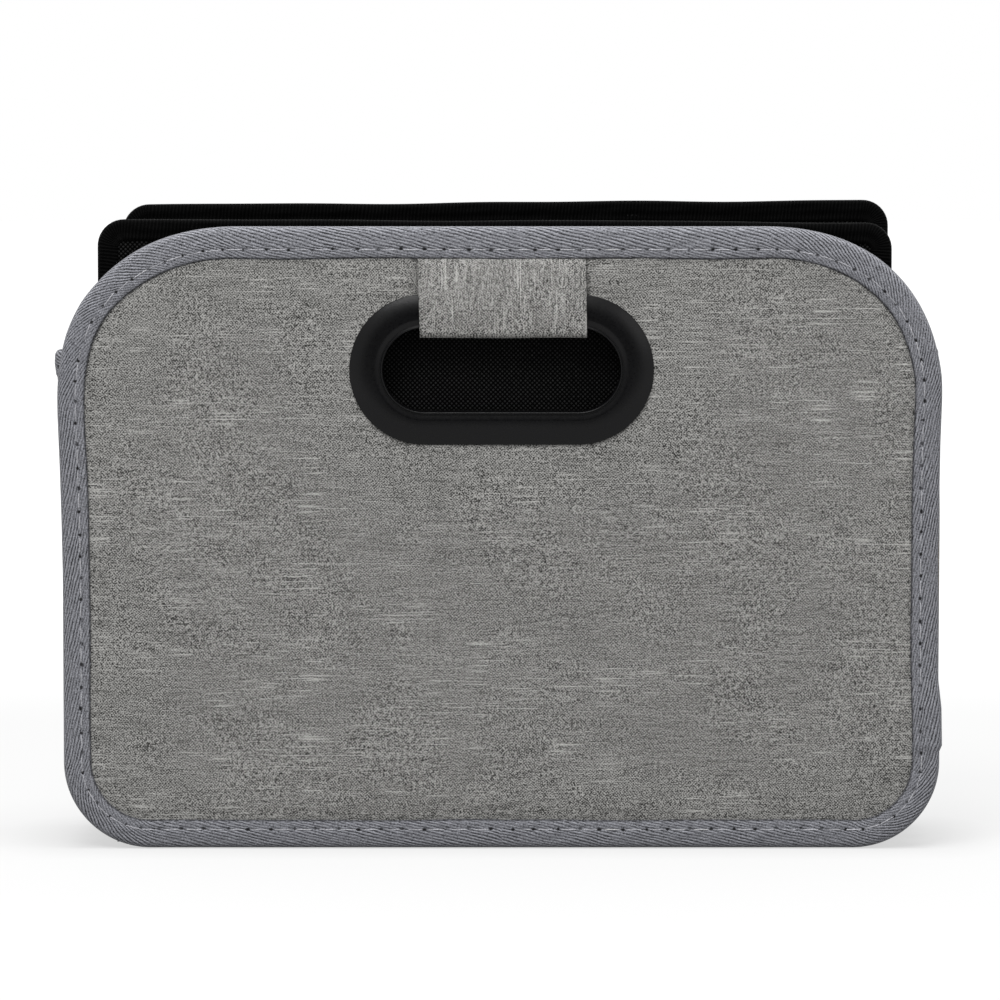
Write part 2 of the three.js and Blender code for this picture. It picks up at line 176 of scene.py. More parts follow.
def surface(name, points, material, body=None, uv=None, wrap=(False, False), shell=0.0, ribs=None):
    """A mesh from points[i, j]: each quad joins (i, j), (i, j+1), (i+1, j+1), (i+1, j).

    wrap closes either direction. uv holds metres, one row or column more where that wraps, and
    ribs the same with the lengths that a tape's ribs follow. points may have a leading axis of
    copies, which become loose parts of the one mesh.
    """
    points = points[None] if points.ndim == 3 else points
    copies, rows, columns, _ = points.shape
    i, j = np.meshgrid(
        np.arange(rows - (not wrap[0])), np.arange(columns - (not wrap[1])), indexing="ij"
    )
    corners = [(i, j), (i, j + 1), (i + 1, j + 1), (i + 1, j)]
    quads = np.stack([(a % rows) * columns + b % columns for a, b in corners], -1).reshape(-1, 4)
    offset = np.arange(copies)[:, None, None] * rows * columns
    quads = (quads[None] + offset).reshape(-1, 4)
    mesh = bpy.data.meshes.new(name)
    mesh.from_pydata(points.reshape(-1, 3).tolist(), [], quads.tolist())
    for label, held in (("cloth", uv), ("ribs", uv if ribs is None else ribs)):
        if held is not None:
            layer = mesh.uv_layers.new(name=label)
            values = np.stack([held[a, b] for a, b in corners], axis=2)
            layer.data.foreach_set("uv", values.reshape(-1).astype(np.float32))
    mesh.polygons.foreach_set("use_smooth", np.ones(len(mesh.polygons), bool))
    mesh.update()
    piece = bpy.data.objects.new(name, mesh)
    bpy.context.scene.collection.objects.link(piece)
    mesh.materials.append(material)
    if shell:
        wall = piece.modifiers.new("wall", "SOLIDIFY")
        wall.thickness = abs(shell) / 1000
        wall.offset = -1 if shell > 0 else 1
        wall.use_even_offset = False
    if body:
        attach(piece, body)
    return piece


def lengths(along, across):
    """UV in metres from millimetres along and across a cloth."""
    return np.stack(np.broadcast_arrays(along, across), -1) / 1000


def walled(piece, thickness):
    """Cloth of even thickness in millimetres, half of it to either side of the surface."""
    wall = piece.modifiers.new("wall", "SOLIDIFY")
    wall.thickness = thickness / 1000
    wall.offset = 0


def eased_loop(outline, count):
    """Rounded rectangle, anticlockwise from the middle of its foot, as points and inward normals.

    outline is half its width, its foot and top heights, and its lower and upper corners. A corner
    is the cubic Bezier curve whose ends lie `reach` from the sharp corner and whose handles are
    `fullness` of that reach. Points are spaced evenly along the loop.
    """
    half, foot, top, lower, upper = outline
    t = np.linspace(0, 1, 60)[:, None]

    def corner(at, first, last, reach_, fullness):
        at, first, last = (np.array(v, float) for v in (at, first, last))
        p0, p3 = at + first * reach_, at + last * reach_
        p1 = at + first * reach_ * (1 - fullness)
        p2 = at + last * reach_ * (1 - fullness)
        return p0 * (1 - t) ** 3 + 3 * p1 * t * (1 - t) ** 2 + 3 * p2 * t**2 * (1 - t) + p3 * t**3

    dense = np.concatenate([
        [[0, foot]],
        corner((half, foot), (-1, 0), (0, 1), *lower),
        corner((half, top), (0, -1), (-1, 0), *upper),
        corner((-half, top), (1, 0), (0, -1), *upper),
        corner((-half, foot), (0, 1), (1, 0), *lower),
        [[0, foot]],
    ])
    return evened(dense, count)


def evened(dense, count, closed=True):
    """Points spaced evenly along a polyline, with normals to the left of the way along it."""
    steps = np.linalg.norm(np.diff(dense, axis=0), axis=1)
    along = np.concatenate([[0], np.cumsum(steps)])
    at = np.linspace(0, along[-1], count, endpoint=not closed)
    points = np.stack([np.interp(at, along, dense[:, k]) for k in range(dense.shape[1])], -1)
    if closed:
        way = np.roll(points, -1, axis=0) - np.roll(points, 1, axis=0)
    else:
        way = np.gradient(points, axis=0)
    way /= np.linalg.norm(way, axis=1)[:, None]
    return points, np.stack([-way[:, 1], way[:, 0]], -1), at, along[-1]


def slot_loop(width, height, up, count):
    """Stadium, anticlockwise from the middle of its foot: two half circles and two straights."""
    r = height / 2
    h = width / 2 - r
    a = np.linspace(-np.pi / 2, np.pi / 2, 60)
    dense = np.concatenate([
        [[0, up - r]],
        np.stack([h + r * np.cos(a), up + r * np.sin(a)], -1),
        np.stack([-h - r * np.cos(a), up - r * np.sin(a)], -1),
        [[0, up - r]],
    ])
    return evened(dense, count)


def softened(points, rounds=2):
    """Polyline with its corners cut at a quarter of each side, again and again (Chaikin)."""
    points = np.asarray(points, float)
    for _ in range(rounds):
        a, b = points[:-1], points[1:]
        cut = np.stack([0.75 * a + 0.25 * b, 0.25 * a + 0.75 * b], 1).reshape(-1, points.shape[1])
        points = np.concatenate([points[:1], cut, points[-1:]])
    return points


def across_tape(path):
    """Place across a tape TAPE wide from a path measured between its edges.

    It is exact for 5 mm from either edge, and stretched evenly between them.
    """
    half = path[..., -1:] / 2
    near = np.minimum(path, 2 * half - path)
    eased = np.where(near < 5, near, 5 + (near - 5) * (TAPE / 2 - 5) / (half - 5))
    return np.where(path < half, eased, TAPE - eased)


def drift(a, b, size, seed, waves=7):
    """Smooth wander between about -1 and 1: a sum of plane waves with fixed random directions."""
    rng = np.random.default_rng(seed)
    turn = rng.uniform(0, 2 * np.pi, waves)
    length = size * rng.uniform(0.6, 1.7, waves)
    phase = rng.uniform(0, 2 * np.pi, waves)
    a, b = np.broadcast_arrays(np.asarray(a, float), np.asarray(b, float))
    total = sum(
        np.cos(2 * np.pi * (a * np.cos(t) + b * np.sin(t)) / n + p)
        for t, n, p in zip(turn, length, phase)
    )
    return total / math.sqrt(waves)


# Finishes


def srgb(red, green=None, blue=None):
    """Linear colour from values out of 255."""
    green = red if green is None else green
    blue = red if blue is None else blue
    c = np.array([red, green, blue]) / 255
    linear = np.where(c <= 0.04045, c / 12.92, ((c + 0.055) / 1.055) ** 2.4)
    return (*linear.tolist(), 1.0)


SOCKETS = {
    "specular_ior_level": "Specular IOR Level",
    "sheen_weight": "Sheen Weight",
    "sheen_roughness": "Sheen Roughness",
}


class Finish:
    """One material under construction; each method adds a node and returns its output."""

    def __init__(self, name):
        self.material = bpy.data.materials.new(name)
        self.material.use_nodes = True
        self.tree = self.material.node_tree
        self.shader = next(n for n in self.tree.nodes if n.type == "BSDF_PRINCIPLED")

    def node(self, kind, inputs=(), out=0, **settings):
        made = self.tree.nodes.new(kind)
        for key, value in settings.items():
            setattr(made, key, value)
        items = inputs.items() if isinstance(inputs, dict) else enumerate(inputs)
        for key, value in items:
            if value is None:
                continue
            if isinstance(value, bpy.types.NodeSocket):
                self.tree.links.new(value, made.inputs[key])
            else:
                made.inputs[key].default_value = value
        return made.outputs[out]

    def math(self, operation, *values, clamp=False):
        return self.node("ShaderNodeMath", values, operation=operation, use_clamp=clamp)

    def times(self, *values):
        return self.math("MULTIPLY", *values)

    def plus(self, *values):
        return self.math("ADD", *values)

    def minus(self, *values):
        return self.math("SUBTRACT", *values)

    def times_plus(self, *values):
        return self.math("MULTIPLY_ADD", *values)

    def place(self):
        return self.node("ShaderNodeTexCoord", out="Object")

    def cloth(self, layer="cloth"):
        uv = self.node("ShaderNodeUVMap", uv_map=layer)
        return (uv, *self.split(uv)[:2])

    def split(self, vector):
        split = self.tree.nodes.new("ShaderNodeSeparateXYZ")
        self.tree.links.new(vector, split.inputs[0])
        return split.outputs[0], split.outputs[1], split.outputs[2]

    def stretched(self, vector, scale, turned=(0, 0, 0)):
        return self.node(
            "ShaderNodeMapping", {"Vector": vector, "Scale": scale, "Rotation": turned}
        )

    def noise(self, vector, scale, detail=2.0, roughness=0.5):
        inputs = {"Vector": vector, "Scale": scale, "Detail": detail, "Roughness": roughness}
        return self.node("ShaderNodeTexNoise", inputs)

    def fit(self, value, low, high, to_low=0.0, to_high=1.0, kind="SMOOTHSTEP"):
        return self.node(
            "ShaderNodeMapRange", [value, low, high, to_low, to_high], interpolation_type=kind
        )

    def mix(self, share, first, second):
        made = self.tree.nodes.new("ShaderNodeMix")
        made.data_type = "RGBA"
        for key, value in ((0, share), (6, first), (7, second)):
            if isinstance(value, bpy.types.NodeSocket):
                self.tree.links.new(value, made.inputs[key])
            else:
                made.inputs[key].default_value = value
        return made.outputs[2]

    def bump(self, height, depth, strength=1.0):
        inputs = {"Height": height, "Distance": depth / 1000, "Strength": strength}
        return self.node("ShaderNodeBump", inputs)

    def finish(self, colour=None, roughness=None, normal=None, **sockets):
        for key, value in (("Base Color", colour), ("Roughness", roughness), ("Normal", normal)):
            if isinstance(value, bpy.types.NodeSocket):
                self.tree.links.new(value, self.shader.inputs[key])
            elif value is not None:
                self.shader.inputs[key].default_value = value
        for key, value in sockets.items():
            self.shader.inputs[SOCKETS[key]].default_value = value
        return self.material


def heather(name, dark, light, turned=(0, 0, 0), on_cloth=False):
    """Melange weave: fine grain in both thread directions, with pale and dark slubs along one."""
    f = Finish(name)
    at = f.cloth()[0] if on_cloth else f.place()
    turned = (math.pi / 2, 0, 0) if on_cloth else turned
    at = f.stretched(at, (1, 1, 1), turned) if any(turned) else at
    sway = f.times(f.noise(f.stretched(at, (70, 70, 220)), 1.0, 2.0), 9.0)
    x, y, z = f.split(at)
    turn = 2 * math.pi / 0.00114
    across = f.math("COSINE", f.times_plus(f.plus(x, y), turn, sway))
    up = f.math("COSINE", f.times_plus(z, turn, sway))
    weft = f.noise(f.stretched(at, (950, 950, 3000)), 1.0, 1.0, 0.6)
    warp = f.noise(f.stretched(at, (3000, 3000, 2000)), 1.0, 0.0, 0.6)
    line = f.noise(f.stretched(at, (110, 110, 2100)), 1.0, 1.0, 0.6)
    slub = f.noise(f.stretched(at, (62, 62, 1900)), 1.0, 0.0, 0.5)
    groups = f.noise(f.stretched(at, (22, 22, 90)), 1.0, 2.0, 0.5)
    pale = f.times(f.fit(slub, 0.60, 0.74), f.fit(groups, 0.42, 0.60))
    deep = f.times(f.fit(slub, 0.40, 0.26), f.fit(groups, 0.58, 0.42))
    grain = f.times(f.times(across, up), 0.08)
    for thread, share in ((weft, 0.43), (warp, 0.44), (line, 0.13)):
        grain = f.times_plus(thread, share, grain)
    colour = f.mix(f.fit(grain, 0.39, 0.61, kind="LINEAR"), dark, light)
    colour = f.mix(f.times(pale, 0.45), colour, srgb(220, 219, 215))
    colour = f.mix(f.times(deep, 0.35), colour, srgb(56, 56, 54))
    height = f.times_plus(pale, 0.12, grain)
    roughness = f.fit(grain, 0.37, 0.63, 0.95, 0.82)
    return f.finish(colour, roughness, f.bump(height, 0.2), specular_ior_level=0.25)


def twill(name, dark, light, hole=None, pitch=1.13, gloss=0.3, sheen=0.15):
    """Twill tape, read along (u) and across (v, from either edge of the tape) in metres.

    Ribs follow v - 0.24 * the length in the "ribs" layer, and are fainter between an edge and its
    row of stitches. The needle holes jog about their even places, and differ in size. Painted shade:
    the needle holes and a broken line along either edge of the tape take the hole colour.
    """
    f = Finish(name)
    at, u, v = f.cloth()
    edge = f.math("MINIMUM", v, f.minus(TAPE / 1000, v))
    row = STITCH_FROM_EDGE / 1000
    inner = f.fit(edge, row - 0.0006, row + 0.0006)
    wander = f.noise(f.stretched(at, (70, 220, 1)), 1.0, 2.0)
    along = f.cloth("ribs")[1]
    lean = f.minus(v, f.times(along, 0.24))
    lean = f.times_plus(wander, 0.0016, lean)
    rib = f.math("COSINE", f.times(lean, 2 * math.pi / (pitch / 1000)))
    rib = f.math("POWER", f.times_plus(rib, 0.5, 0.5), 0.6)
    bold = f.fit(f.noise(f.stretched(at, (60, 200, 1)), 1.0, 1.0), 0.35, 0.65, 0.45, 1.0, "LINEAR")
    bold = f.times(bold, f.times_plus(inner, 0.35, 0.65))
    rib = f.times(f.minus(rib, 0.6), bold)
    knots = f.noise(f.stretched(at, (1500, 2300, 1)), 1.0, 1.0, 0.6)
    runs = f.noise(f.stretched(at, (300, 1200, 1)), 1.0, 2.0, 0.5)
    tone = f.times_plus(rib, 0.85, 0.5)
    tone = f.plus(tone, f.times_plus(knots, 1.7, -0.85))
    tone = f.math("ADD", tone, f.times_plus(runs, 0.7, -0.35), clamp=True)
    colour = f.mix(tone, dark, light)
    height = f.times_plus(knots, 0.35, rib)
    if hole:
        step = STITCH_PITCH / 1000
        count = f.math("FLOOR", f.math("DIVIDE", u, step))
        one, two = (
            f.node("ShaderNodeTexWhiteNoise", {"W": f.plus(count, k)}, noise_dimensions="1D")
            for k in (0.0, 0.5)
        )
        jog = f.times_plus(one, 0.0014, step / 2 - 0.0007)
        du = f.minus(f.minus(u, f.times(count, step)), jog)
        du = f.times(du, f.times_plus(one, 0.5, 0.6))
        dv = f.minus(edge, f.times_plus(two, 0.0006, row - 0.0003))
        away = f.math("SQRT", f.times_plus(du, du, f.times(dv, dv)))
        deep = f.fit(two, 0.0, 0.6, 0.45, 1.0, "LINEAR")
        # painted shade: each needle hole is darkened as the shadow in its recess, more or less by its
        # depth
        prick = f.times(f.fit(away, 0.00075, 0.0003), deep)
        # painted shade: a dark line along either edge of the tape, broken by noise, stands for the
        # shadow where the tape meets the cloth
        edge_shade_share = f.fit(f.noise(f.stretched(at, (900, 900, 1)), 1.0, 1.0), 0.35, 0.6, 0.45, 0.9)
        rim = f.times(f.fit(edge, 0.001, 0.0003), edge_shade_share)
        colour = f.mix(f.math("MAXIMUM", prick, rim), colour, hole)
        height = f.times_plus(prick, -2.0, height)
    return f.finish(
        colour, 0.86, f.bump(height, 0.25),
        specular_ior_level=gloss, sheen_weight=sheen, sheen_roughness=0.4,
    )


def ribbed(name, dark, light, pitch=1.35):
    """Tape whose ribs run across it: they follow u, its length, and lean a little with v."""
    f = Finish(name)
    at, u, v = f.cloth()
    wander = f.noise(f.stretched(at, (220, 70, 1)), 1.0, 2.0)
    lean = f.times_plus(wander, 0.0012, f.times_plus(v, 0.12, u))
    rib = f.math("COSINE", f.times(lean, 2 * math.pi / (pitch / 1000)))
    rib = f.times_plus(rib, 0.5, 0.5)
    knots = f.noise(f.stretched(at, (2300, 1500, 1)), 1.0, 1.0, 0.6)
    tone = f.times(rib, f.fit(knots, 0.3, 0.7, 0.3, 1.0, "LINEAR"))
    height = f.times_plus(knots, 0.4, rib)
    colour = f.mix(tone, dark, light)
    return f.finish(
        colour, 0.8, f.bump(height, 0.25),
        specular_ior_level=0.03, sheen_weight=0.09, sheen_roughness=0.3,
    )


def basket(name, dark, light, pitch=1.75):
    """Black basket weave: small raised crossings on a diagonal net of threads."""
    f = Finish(name)
    at = f.place()
    x, y, z = f.split(at)
    across = f.plus(x, y)
    a = f.times(f.plus(across, z), math.pi / (pitch / 1000))
    b = f.times(f.minus(across, z), math.pi / (pitch / 1000))
    net = f.times(f.math("COSINE", a), f.math("COSINE", b))
    net = f.math("ABSOLUTE", net)
    fuzz = f.noise(at, 900.0, 2.0, 0.6)
    patch = f.noise(at, 26.0, 2.0)
    tone = f.times(f.fit(net, 0.25, 0.9), f.fit(fuzz, 0.3, 0.7, 0.3, 1.0, "LINEAR"))
    tone = f.times(tone, f.fit(patch, 0.3, 0.7, 0.7, 1.0, "LINEAR"))
    height = f.plus(net, f.times(fuzz, 0.4))
    return f.finish(f.mix(tone, dark, light), 0.82, f.bump(height, 0.2), specular_ior_level=0.03)


def moulded(name, colour):
    """Satin plastic: faint grain in the gloss, and a slow swell in the surface."""
    f = Finish(name)
    at = f.place()
    fine = f.noise(at, 1400.0, 2.0, 0.6)
    slow = f.noise(at, 60.0, 2.0)
    shade = f.mix(f.fit(slow, 0.3, 0.7), colour, tuple(c * 1.25 for c in colour[:3]) + (1.0,))
    roughness = f.fit(fine, 0.3, 0.7, 0.26, 0.36, "LINEAR")
    height = f.plus(f.times(fine, 0.5), slow)
    return f.finish(shade, roughness, f.bump(height, 0.03), specular_ior_level=0.18)


def pressed_board(name):
    """Stiffener board: brown fibre with a faint lay along its length."""
    f = Finish(name)
    at = f.place()
    fibre = f.noise(f.stretched(at, (120, 120, 900)), 1.0, 4.0, 0.6)
    colour = f.mix(f.fit(fibre, 0.3, 0.7), srgb(120, 104, 80), srgb(168, 150, 120))
    return f.finish(colour, 0.9, f.bump(fibre, 0.1))


cloth_tones = srgb(40, 40, 38), srgb(180, 179, 176)
grey_cloth = heather("grey heather cloth", *cloth_tones)
grey_upright = heather("grey heather cloth, upright", *cloth_tones, (0, math.pi / 2, 0))
grey_turned = heather("grey heather cloth, turned", *cloth_tones, on_cloth=True)
# hole is the colour of the painted shade in the needle holes and along the tape's edges
grey_tape = twill("grey twill tape", srgb(22, 23, 28), srgb(168, 169, 176), hole=srgb(12, 12, 15))
grey_thread = heather("grey thread", srgb(150, 150, 155), srgb(200, 200, 205))
black_cloth = basket("black basket cloth", srgb(0), srgb(58))
black_tape = ribbed("black ribbed tape", srgb(0), srgb(14))
black_plastic = moulded("satin black plastic", srgb(4, 4, 5))
board = pressed_board("stiffener board")


# End panels


def binding_cover(inward):
    """Width that the tape covers, from its side, top and foot widths by the normal's direction."""
    upright = np.where(inward[:, 1] < 0, BINDING_COVER["top"], BINDING_COVER["foot"])
    return inward[:, 0] ** 2 * BINDING_COVER["side"] + inward[:, 1] ** 2 * upright


def panel_loop(count):
    """Edge of the panel: a rounded rectangle whose sides swell a little below the top corners."""
    outline = (panel_half, 0, panel_top, FOOT_CORNER, TOP_CORNER)
    points, inward, s, length = eased_loop(outline, count)
    left = np.interp(points[:, 1], *SIDE_SWELL["left"])
    right = np.interp(points[:, 1], *SIDE_SWELL["right"])
    points[:, 0] += np.where(points[:, 0] < 0, -left, right)
    return points, inward, s, length


def edge_binding(end, turn, body):
    """Tape round the panel: a flat band with a row of stitches pressed in, rolled over the edge.

    The roll is a superellipse of degree 2.4 in inset and out. The band bows up by a sine
    between the roll and the stitches and sinks by a bell curve at the stitch line, deeper at
    each needle hole. Past the start of the tape its end lies on top, a step of one thickness.
    """
    count = 900
    points, inward, s, length = panel_loop(count)
    cover = binding_cover(inward) + 0.22 * drift(s, 0 * s, 60, 3)
    roll = 3.1
    middle = (rim_front + rim_back) / 2
    depth = (rim_front - rim_back) / 2
    band = np.linspace(1, 0, 22)
    a = np.linspace(0, np.pi, 17)[1:-1]
    sa, ca = np.sin(a), np.cos(a)
    power = 2 / 2.4
    roll_inset = roll * (1 - np.abs(sa) ** power)
    roll_out = depth * np.sign(ca) * np.abs(ca) ** power
    band_inset = roll + band[None, :] * (cover[:, None] - roll)
    from_edge = cover[:, None] - band_inset
    bow = 0.28 * np.sin(np.pi * np.clip((band_inset - roll) / (cover[:, None] - roll), 0, 1))
    phase = 2 * np.pi * (s[:, None] / STITCH_PITCH)
    pressed = 0.17 + 0.10 * np.cos(phase + np.pi)
    groove = pressed * np.exp(-(((from_edge - STITCH_FROM_EDGE) / 0.8) ** 2))
    edge = 0.35 * np.exp(-((from_edge / 0.5) ** 2))
    ripple = 0.08 * drift(s[:, None], band_inset, 9, 5)
    lift = bow - groove - edge + ripple
    front_out = middle + depth + lift
    back_out = middle - depth - lift[:, ::-1]
    start = np.zeros((count, 1))
    inset = np.concatenate([
        cover[:, None], band_inset, np.broadcast_to(roll_inset, (count, roll_inset.size)),
        band_inset[:, ::-1], cover[:, None],
    ], axis=1)
    out = np.concatenate([
        start + face_out - 0.4, front_out,
        middle + np.broadcast_to(roll_out, (count, roll_out.size)),
        back_out, start + lining_out + 0.4,
    ], axis=1)
    lap = lap_at(s)
    fade = np.clip((cover[:, None] - inset) / 1.5, 0, 1)
    inset = inset - lap[:, None] * np.clip(1 - inset / 4, 0, 1)
    out = middle + (out - middle) * (1 + 0.16 * lap[:, None] * fade)
    across = points[:, :1] + inward[:, :1] * inset
    up = points[:, 1:] + inward[:, 1:] * inset
    grid = placed(across, out, up, turn)
    steps = np.hypot(np.diff(inset, axis=1), np.diff(out, axis=1))
    path = np.concatenate([np.zeros((count, 1)), np.cumsum(steps, axis=1)], axis=1)
    v = np.empty_like(path)
    v[:, 1:-1] = across_tape(path[:, 1:-1] - path[:, 1:2])
    v[:, 0], v[:, -1] = -steps[:, 0], TAPE + steps[:, -1]
    s = np.append(s, length)
    turned = np.unwrap(np.arctan2(inward[:, 1], inward[:, 0]))
    turned = np.append(turned, turned[0] + 2 * np.pi) - turned[0]
    v = np.concatenate([v, v[:1]])
    uv, ribs = (lengths(along[:, None], v) for along in (s, s + np.interp(turned, *RIB_TURN)))
    piece = surface(
        f"{end}_binding_tape", grid, grey_tape, body, uv, wrap=(True, False), ribs=ribs
    )
    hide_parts(f"{end}_edge_binding")


def lap_at(s):
    """1 along the lapped end of the tape, 0 elsewhere: it starts sharply and fades upwards."""
    start = 190.0
    rise = np.clip((s - start) / 0.8, 0, 1)
    fall = np.clip(1 - (s - start - 16) / 10, 0, 1)
    return rise * fall


def stitch_row(name, points, inward, inset, out, length, body, turn, side):
    """Row of thread stitches: each an ellipsoid drawn out along the row, with its ends sunk.

    A point lies long * cos(p) along the row from the centre and thick * sin(p)**0.6 * (cos q,
    sin q) across it and out, and the ends lie lower than the middle by 0.35 * cos(p)**4.
    """
    long, thick = STITCH_SIZE
    at = (np.arange(int(length / STITCH_PITCH)) + 1.0) * STITCH_PITCH
    s = np.linspace(0, length, len(points) + 1)

    def at_stitches(values):
        values = np.concatenate([values, values[:1]])
        return np.stack([np.interp(at, s, values[:, k]) for k in (0, 1)])[:, :, None, None]

    x, z = at_stitches(points + inward * inset[:, None])
    nx, nz = (n / np.hypot(*at_stitches(inward)) for n in at_stitches(inward))
    p = np.linspace(0, np.pi, 9)[None, :, None]
    q = np.linspace(0, 2 * np.pi, 8, endpoint=False)[None, None, :]
    along = long * np.cos(p) + 0 * q
    wide = thick * np.sin(p) ** 0.6 * np.cos(q)
    high = thick * np.sin(p) ** 0.6 * np.sin(q) - 0.35 * np.cos(p) ** 4
    across = x + nz * along + nx * wide
    grid = placed(across, out + side * high, z - nx * along + nz * wide, turn)
    if side * turn < 0:
        grid = grid[:, :, ::-1]
    surface(name, grid, grey_thread, body, wrap=(False, True))


def tape_to_ring(count, rows, power=1.0):
    """Straight lines from under the tape to under the ring: their two ends and all points."""
    outer, inward, _, _ = panel_loop(count)
    outer = (outer + inward * 2.5)[:, None]
    hole = slot_loop(HOLE["width"] + 4, HOLE["height"] + 4, HOLE["up"], count)[0][:, None]
    t = np.linspace(0, 1, rows)[None, :, None] ** power
    return outer, hole, outer * (1 - t) + hole * t


def face_cloth(end, turn, body):
    """Panel face: straight lines from under the tape to under the ring, over a low swell.

    The height is the face plus a rise of 0.95 * (1 - exp(-d / 5)) - 0.4 away from the tape, a dip
    by the ring, and a slow wander of the cloth.
    """
    outer, hole, flat = tape_to_ring(520, 64, 1.15)
    from_tape = np.clip(np.linalg.norm(flat - outer, axis=-1) - 7.5, 0, None)
    past_ring = np.linalg.norm(flat - hole, axis=-1) - FLANGE
    from_ring = np.clip(past_ring, 0, None)
    x, z = flat[..., 0], flat[..., 1]
    lift = 0.95 * (1 - np.exp(-from_tape / 5)) - 0.4 - 0.3 * np.exp(-from_ring / 5)
    lift += 0.16 * drift(x, z, 70, 11) * np.clip(from_tape / 12, 0, 1)
    lift += 0.05 * drift(x, z, 16, 12) * np.clip(from_tape / 6, 0, 1)
    under = np.clip(-past_ring / 2, 0, 1)
    pressed = np.clip((33.6 - np.abs(x)) / 1.6, 0, 1) * np.clip((z - HOLE["up"]) / 3, 0, 1)
    under = np.maximum(under, pressed)
    lift = lift * (1 - under) - 0.25 * under
    grid = placed(x, face_out + lift, z, turn)
    piece = surface(f"{end}_face", grid[:, ::-1], grey_cloth, body, wrap=(True, False), shell=0.5)
    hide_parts(f"{end}_face_cloth")


def lining_cloth(end, turn, body):
    """Panel lining: the face's straight lines on the inner side, with a slow wander."""
    flat = tape_to_ring(260, 24)[2]
    x, z = flat[..., 0], flat[..., 1]
    grid = placed(x, lining_out - 0.1 * drift(x, z, 60, 21), z, turn)
    piece = surface(f"{end}_lining_cloth", grid, black_cloth, body, wrap=(True, False), shell=0.5)
    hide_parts(f"{end}_lining")


def round_slot(profile, count, turn):
    """A section of (distance from the slot's edge, out) carried round the slot."""
    points, inward, _, _ = slot_loop(HOLE["width"], HOLE["height"], HOLE["up"], count)
    away = profile[None, :, 0]
    across = points[:, :1] - inward[:, :1] * away
    up = points[:, 1:] - inward[:, 1:] * away
    return placed(across, profile[None, :, 1], up, turn)[:, :-1]


def hand_ring(end, turn, body):
    """Plastic ring: one closed section carried round the slot.

    From the hole the section rises through the sleeve to a thin raised lip, dips behind it, and
    falls away from a crown 3 mm out by 1.9 * (share of the way to the rim) ** 2.2.
    """
    front = ring_high[1]
    back = ring_low[1]
    share = np.linspace(0, 1, 14)
    crown = np.stack([3 + (FLANGE - 3.7) * share, front - 0.3 - 1.9 * share**2.2], -1)
    profile = softened(np.concatenate([
        [
            (0.0, back + 0.4), (0.0, front - 1.2), (0.0, front - 0.45), (0.1, front + 0.05),
            (0.5, front + 0.2), (0.8, front - 0.2), (0.95, front - 0.8), (1.7, front - 0.6),
        ],
        crown,
        [
            (FLANGE - 0.15, face_out + 0.75), (FLANGE, face_out + 0.3), (12.3, face_out + 0.1),
            (1.6, face_out + 0.1), (1.6, back + 0.2), (1.2, back), (0.4, back), (0.0, back + 0.4),
        ],
    ]))
    grid = round_slot(profile, 220, turn)[:, ::-1]
    piece = surface(f"{end}_ring", grid, black_plastic, body, wrap=(True, True))
    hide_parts(f"{end}_handle_ring")


def back_ring(end, turn, body):
    """Back ring: a flat ring with a rounded outer edge, pressed on the sleeve."""
    low = back_ring_low[1]
    high = lining_out - 0.1
    profile = softened([
        (1.8, high), (1.8, low + 0.3), (2.1, low), (9.0, low), (BACK_FLANGE - 0.3, low + 0.4),
        (BACK_FLANGE, low + 1.2), (BACK_FLANGE, high - 0.2), (BACK_FLANGE - 0.3, high), (1.8, high),
    ])
    grid = round_slot(profile, 160, turn)
    piece = surface(f"{end}_ring_back", grid, black_plastic, body, wrap=(True, True))
    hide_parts(f"{end}_handle_back_ring")


def grip_wrap(end, turn, body):
    """Strip of cloth over the ring: its centre line in (out, up) runs down the face, over the
    flange, round under the slot's top and up behind. Its sides lean a little, as sewn.
    """
    top = panel_top - BINDING_COVER["top"] + 3.0
    ring_top = HOLE["up"] + HOLE["height"] / 2 + FLANGE
    fold = wrap_low[2] + 0.2
    over = wrap_high[1] - 0.5
    behind = wrap_low[1] + 0.5
    face = face_out + 1.25
    lining = lining_out - 0.75
    line = np.array([
        (face_out - 0.2, top), (face_out - 0.15, top - 2.6), (face, top - 5),
        (over - 0.4, ring_top - 2), (over, ring_top - 7), (over, fold + 3),
        (over - 0.1, fold + 0.8), (over - 1.2, fold), (over - 3, fold),
        (behind + 3, fold), (behind + 1.2, fold), (behind, fold + 0.9),
        (behind, fold + 3), (behind, ring_top - 5), (behind + 0.5, ring_top - 2.5),
        (lining, ring_top + 1), (lining, top),
    ])
    path, _, _, length = evened(softened(line), 110, closed=False)
    share = np.linspace(0, 1, 36)[None, :]
    out, up = path[:, :1], path[:, 1:]
    sink = np.clip((top - up) / (top - fold), 0, 1)
    left = -WRAP_HALF + 1.0 * sink
    right = WRAP_HALF + 0.4 * sink
    across = left + (right - left) * share
    front = np.clip((out - lining) / (face - lining), 0, 1) * 2 - 1
    swell = 0.14 * drift(across, up, 24, 31) + 0.10 * np.cos(across / 32 * np.pi * 0.5)
    hem = 0.12 * np.exp(-((WRAP_HALF - np.abs(across)) / 1.2))
    out = out + front * (swell * np.clip((up - fold) / 6, 0, 1) + hem)
    grid = placed(across, out, up + 0.12 * drift(across, 0 * across, 30, 32) * (up < fold + 4), turn)
    piece = surface(f"{end}_wrap", grid, grey_upright, body)
    walled(piece, 0.9)
    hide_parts(f"{end}_grip_wrap")


